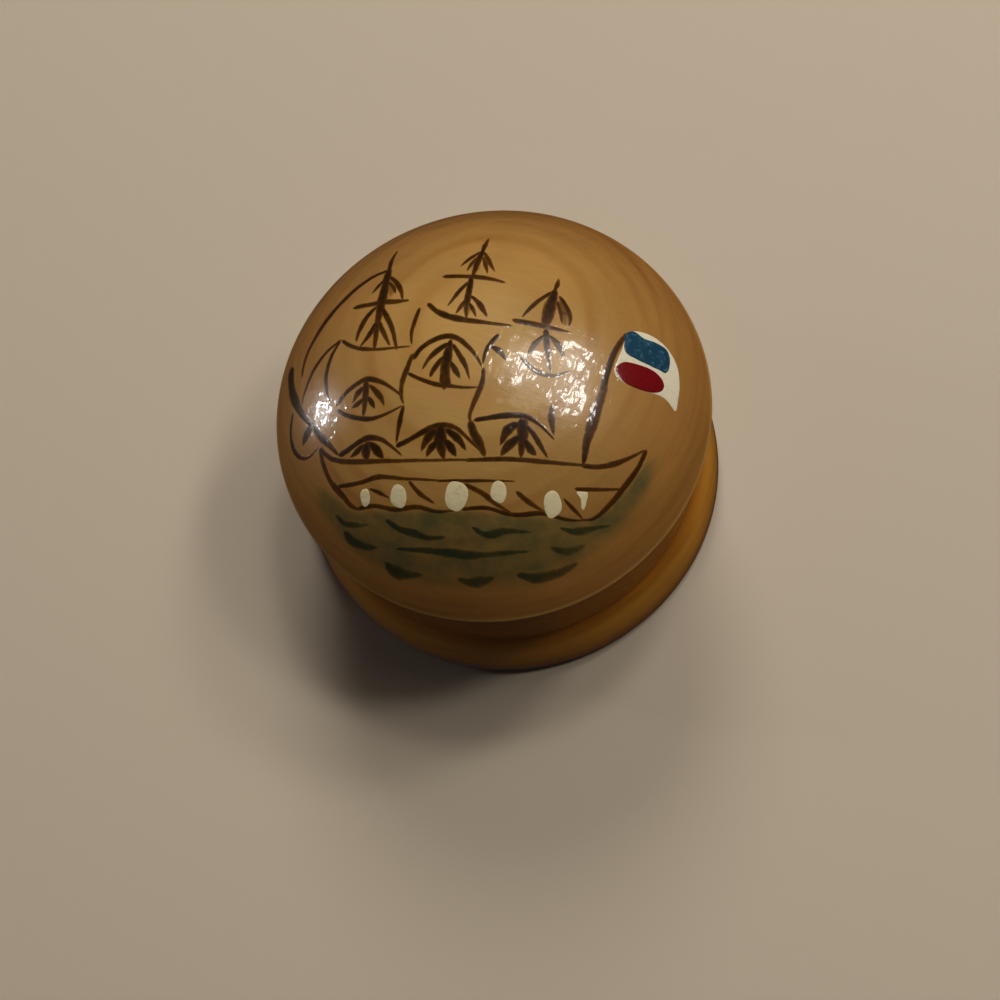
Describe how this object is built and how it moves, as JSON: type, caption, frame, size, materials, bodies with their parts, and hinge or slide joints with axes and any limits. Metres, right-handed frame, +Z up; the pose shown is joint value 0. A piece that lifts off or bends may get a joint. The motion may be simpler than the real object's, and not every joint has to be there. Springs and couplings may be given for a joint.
{
  "type": "round trinket box",
  "caption": "Round turned wooden trinket box with a deep domed push-fit lid on a flanged foot, a sailing ship with a flag painted on the dome.",
  "frame": {"origin": "centre of the flat underside of the foot, where the box rests on a table", "axes": "+Z up along the turning axis, from the foot to the top of the dome; +Y the way the painted ship's masts point; +X towards the ship's stern and flag"},
  "size_m": [0.0436, 0.0436, 0.0298],
  "materials": {
    "varnished_wood": "light turned wood under semi-gloss amber varnish",
    "brown_paint": "thin dark brown paint strokes under varnish",
    "cream_paint": "thick cream white paint",
    "blue_paint": "thick steel blue paint",
    "red_paint": "thick dark red paint",
    "sea_green_paint": "thin dark blue-green paint strokes under varnish"
  },
  "bodies": {
    "base": {"base": "varnished_wood"},
    "lid": {"lid": "varnished_wood", "ship_lines": "brown_paint", "portholes": "cream_paint", "flag_white": "cream_paint", "flag_blue": "blue_paint", "flag_red": "red_paint", "waves": "sea_green_paint"}
  },
  "joints": [
    {"name": "lid_lift", "type": "slide", "parent": "base", "child": "lid", "axis": [0, 0, 1], "range_m": [0, 0.03]}
  ]
}
